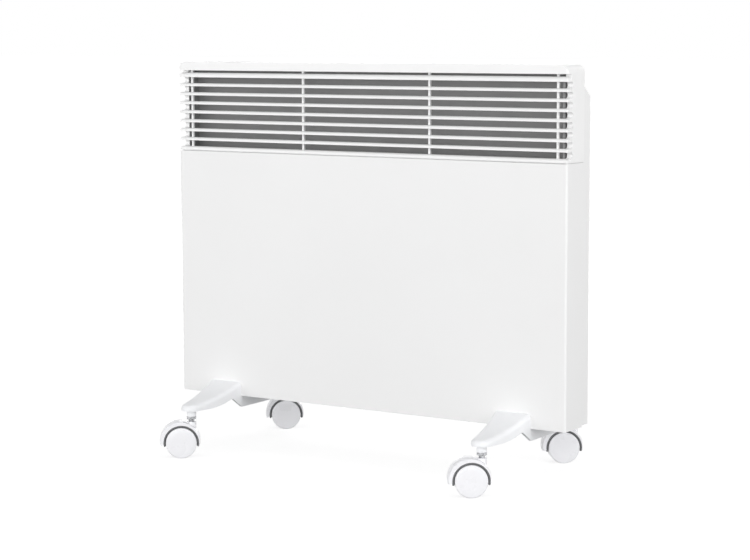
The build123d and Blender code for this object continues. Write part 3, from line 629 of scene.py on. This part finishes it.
def build_surroundings(stage):
    """White surroundings: a strength of 1 for the viewer, the ambient level for the light."""
    world = bpy.data.worlds.new("studio")
    bpy.context.scene.world = world
    world.use_nodes = True
    tree = world.node_tree
    tree.nodes.clear()
    strength = add_node(tree, "ShaderNodeMapRange",
                        {"Value": seen_directly(tree), "To Min": stage.ambient, "To Max": 1.0})
    white = add_node(tree, "ShaderNodeBackground",
                     {"Color": linear_rgba("#FFFFFF"), "Strength": strength.outputs["Result"]})
    add_node(tree, "ShaderNodeOutputWorld", {"Surface": white.outputs[0]})


def add_light(name, place, target, size, power):
    """Soft light, wide and high as given, aimed at a point."""
    lamp = bpy.data.lights.new(name, "AREA")
    lamp.shape = "RECTANGLE"
    lamp.size, lamp.size_y = size
    lamp.energy = power
    light = bpy.data.objects.new(name, lamp)
    light.location = place
    light.rotation_euler = (target - Vector(place)).to_track_quat("-Z", "Y").to_euler()
    bpy.context.scene.collection.objects.link(light)


def add_camera(stage):
    """Camera at the photograph's viewing angle."""
    data = bpy.data.cameras.new("camera")
    data.sensor_fit = "HORIZONTAL"
    data.lens = stage.focal_px / IMAGE_WIDTH_PX * data.sensor_width
    camera = bpy.data.objects.new("camera", data)
    turn = (Matrix.Rotation(stage.yaw, 4, "Z") @ Matrix.Rotation(math.pi / 2 - stage.pitch, 4, "X")
            @ Matrix.Rotation(stage.roll, 4, "Z"))
    camera.matrix_world = Matrix.Translation(stage.place) @ turn
    bpy.context.scene.collection.objects.link(camera)
    bpy.context.scene.camera = camera


# Operators

class HEATER_OT_finish_cabinet(bpy.types.Operator):
    """Finish the folded steel panel and casing and the moulded louvre frame"""

    bl_idname = "heater.finish_cabinet"
    bl_label = "Finish cabinet"

    def execute(self, context):
        dress(("front_panel", "rear_casing"), powder_coated_steel())
        dress(("outlet_grille",),
              moulded_plastic("heat_proof_polyester", settings().colours.grille,
                              roughness=(0.38, 0.5), depth=0.03 * MM))
        # The sheet behind the louvres takes a grey that also paints the shade inside the slots.
        dress(("air_deflector",), matt_grey_coat())
        return {"FINISHED"}


class HEATER_OT_finish_inside(bpy.types.Operator):
    """Finish the element, its supports and the electrical pieces inside the casing"""

    bl_idname = "heater.finish_inside"
    bl_label = "Finish inside"

    def execute(self, context):
        colours = settings().colours
        dress(("heating_element",), extruded_aluminium())
        # Rod and spindle take nickel whose dark bands are painted reflection.
        dress(("element_rod", "thermostat_spindle"), nickel_plated_steel())
        dress(("left_element_bracket", "right_element_bracket"), zinc_plated_steel())
        dress(("left_element_bush", "right_element_bush"),
              moulded_plastic("silicone_rubber", colours.silicone, roughness=(0.6, 0.75), depth=0.02 * MM))
        dress(("terminal_block", "air_sensor"),
              moulded_plastic("natural_nylon", colours.nylon, roughness=(0.45, 0.6), depth=0.03 * MM))
        return {"FINISHED"}


class HEATER_OT_finish_controls(bpy.types.Operator):
    """Finish the knob, the rocker switch, the pilot lens and the gland"""

    bl_idname = "heater.finish_controls"
    bl_label = "Finish controls"

    def execute(self, context):
        colours = settings().colours
        black = moulded_plastic("black_nylon", colours.black, roughness=(0.42, 0.55), depth=0.04 * MM)
        dress(("thermostat_body", "thermal_cutout", "switch_frame", "cable_gland"), black)
        dress(("rocker_switch",),
              moulded_plastic("polished_black_abs", colours.black, roughness=(0.22, 0.3), depth=0.01 * MM))
        dress(("thermostat_knob",),
              moulded_plastic("satin_white_abs", colours.grille, roughness=(0.34, 0.44), depth=0.02 * MM))
        dress(("indicator_lens",), clear_amber_plastic())
        return {"FINISHED"}


class HEATER_OT_finish_feet(bpy.types.Operator):
    """Finish the moulded feet and the castor sleeves in them"""

    bl_idname = "heater.finish_feet"
    bl_label = "Finish feet"

    def execute(self, context):
        plastic = moulded_plastic("moulded_white_abs", settings().colours.foot,
                                  roughness=(0.5, 0.62), depth=0.04 * MM)
        dress(("left_foot", "right_foot", *(f"{corner}_socket" for corner in CORNERS)), plastic)
        return {"FINISHED"}


class HEATER_OT_finish_castors(bpy.types.Operator):
    """Finish the hoods, wheels, inner frames, stems and axles of the castors"""

    bl_idname = "heater.finish_castors"
    bl_label = "Finish castors"

    def execute(self, context):
        colours = settings().colours
        white = moulded_plastic("polished_white_nylon", colours.castor,
                                roughness=(0.24, 0.34), depth=0.012 * MM)
        # The frame's dark grey draws the dark ring in the gap round each wheel.
        grey = moulded_plastic("grey_nylon", colours.castor_frame,
                               roughness=(0.45, 0.6), depth=0.03 * MM)
        # Stems and axles take nickel whose dark bands are painted reflection.
        steel = nickel_plated_steel()
        for corner in CORNERS:
            dress((f"{corner}_hood", f"{corner}_wheel_a", f"{corner}_wheel_b"), white)
            dress((f"{corner}_frame",), grey)
            dress((f"{corner}_stem", f"{corner}_axle"), steel)
        return {"FINISHED"}


class HEATER_OT_add_screws(bpy.types.Operator):
    """Put cross-head screws in place of the plain ones under the heater"""

    bl_idname = "heater.add_screws"
    bl_label = "Add screws"

    def execute(self, context):
        detail = settings().sizes
        zinc = zinc_plated_steel()
        for node in ("case_screws", "foot_screws"):
            low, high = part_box(node)
            head_radius = (high.y - low.y) / 2
            sizes = {
                "Head Radius": head_radius,
                "Head Height": detail.screw_head,
                "Crown Radius": detail.screw_crown,
                "Shank Radius": detail.screw_shank,
                "Shank Length": high.z - low.z - detail.screw_head,
                "Recess Span": detail.recess_span,
                "Recess Width": detail.recess_width,
                "Recess Depth": detail.recess_depth,
            }
            piece = grow(f"cross_head_{node}", screw_tree(sizes, zinc), sizes,
                         screw_places(node, head_radius))
            keep(piece, "heater")
            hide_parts(node)
        return {"FINISHED"}


class HEATER_OT_print_marks(bpy.types.Operator):
    """Print the dial's ticks and numbers and the rocker's on and off signs"""

    bl_idname = "heater.print_marks"
    bl_label = "Print marks"

    def execute(self, context):
        print_dial()
        print_rocker()
        return {"FINISHED"}


class HEATER_OT_build_stage(bpy.types.Operator):
    """Build the floor, the lights and the camera"""

    bl_idname = "heater.build_stage"
    bl_label = "Build stage"

    def execute(self, context):
        stage = settings().stage
        context.scene.view_settings.view_transform = "Standard"
        build_floor(stage)
        build_surroundings(stage)
        middle = (cad_box[0] + cad_box[1]) / 2
        for name, place, size in LAMPS:
            add_light(f"{name}_light", place, middle, size, getattr(stage, name))
        add_camera(stage)
        return {"FINISHED"}


# Sidebar and registration

class HEATER_PT_sidebar(bpy.types.Panel):
    """Heater settings and steps in the sidebar"""

    bl_label = "Heater"
    bl_space_type = "VIEW_3D"
    bl_region_type = "UI"
    bl_category = "Heater"

    def draw(self, context):
        column = self.layout.column()
        for step in STEPS:
            column.operator(step.bl_idname)
        for group in (settings().colours, settings().sizes, settings().stage):
            for name in group.__annotations__:
                column.prop(group, name)


STEPS = (
    HEATER_OT_finish_cabinet,
    HEATER_OT_finish_inside,
    HEATER_OT_finish_controls,
    HEATER_OT_finish_feet,
    HEATER_OT_finish_castors,
    HEATER_OT_add_screws,
    HEATER_OT_print_marks,
    HEATER_OT_build_stage,
)
CLASSES = (HeaterColours, HeaterSizes, HeaterStage, HeaterSettings, *STEPS, HEATER_PT_sidebar)


def register():
    """Register the classes and the scene's settings."""
    for item in CLASSES:
        bpy.utils.register_class(item)
    bpy.types.Scene.heater = PointerProperty(type=HeaterSettings)


def unregister():
    """Take the settings and the classes away again."""
    del bpy.types.Scene.heater
    for item in reversed(CLASSES):
        bpy.utils.unregister_class(item)


def main():
    """Run every step in order."""
    register()
    for step in STEPS:
        group, name = step.bl_idname.split(".")
        getattr(getattr(bpy.ops, group), name)()


if __name__ == "__main__":
    main()
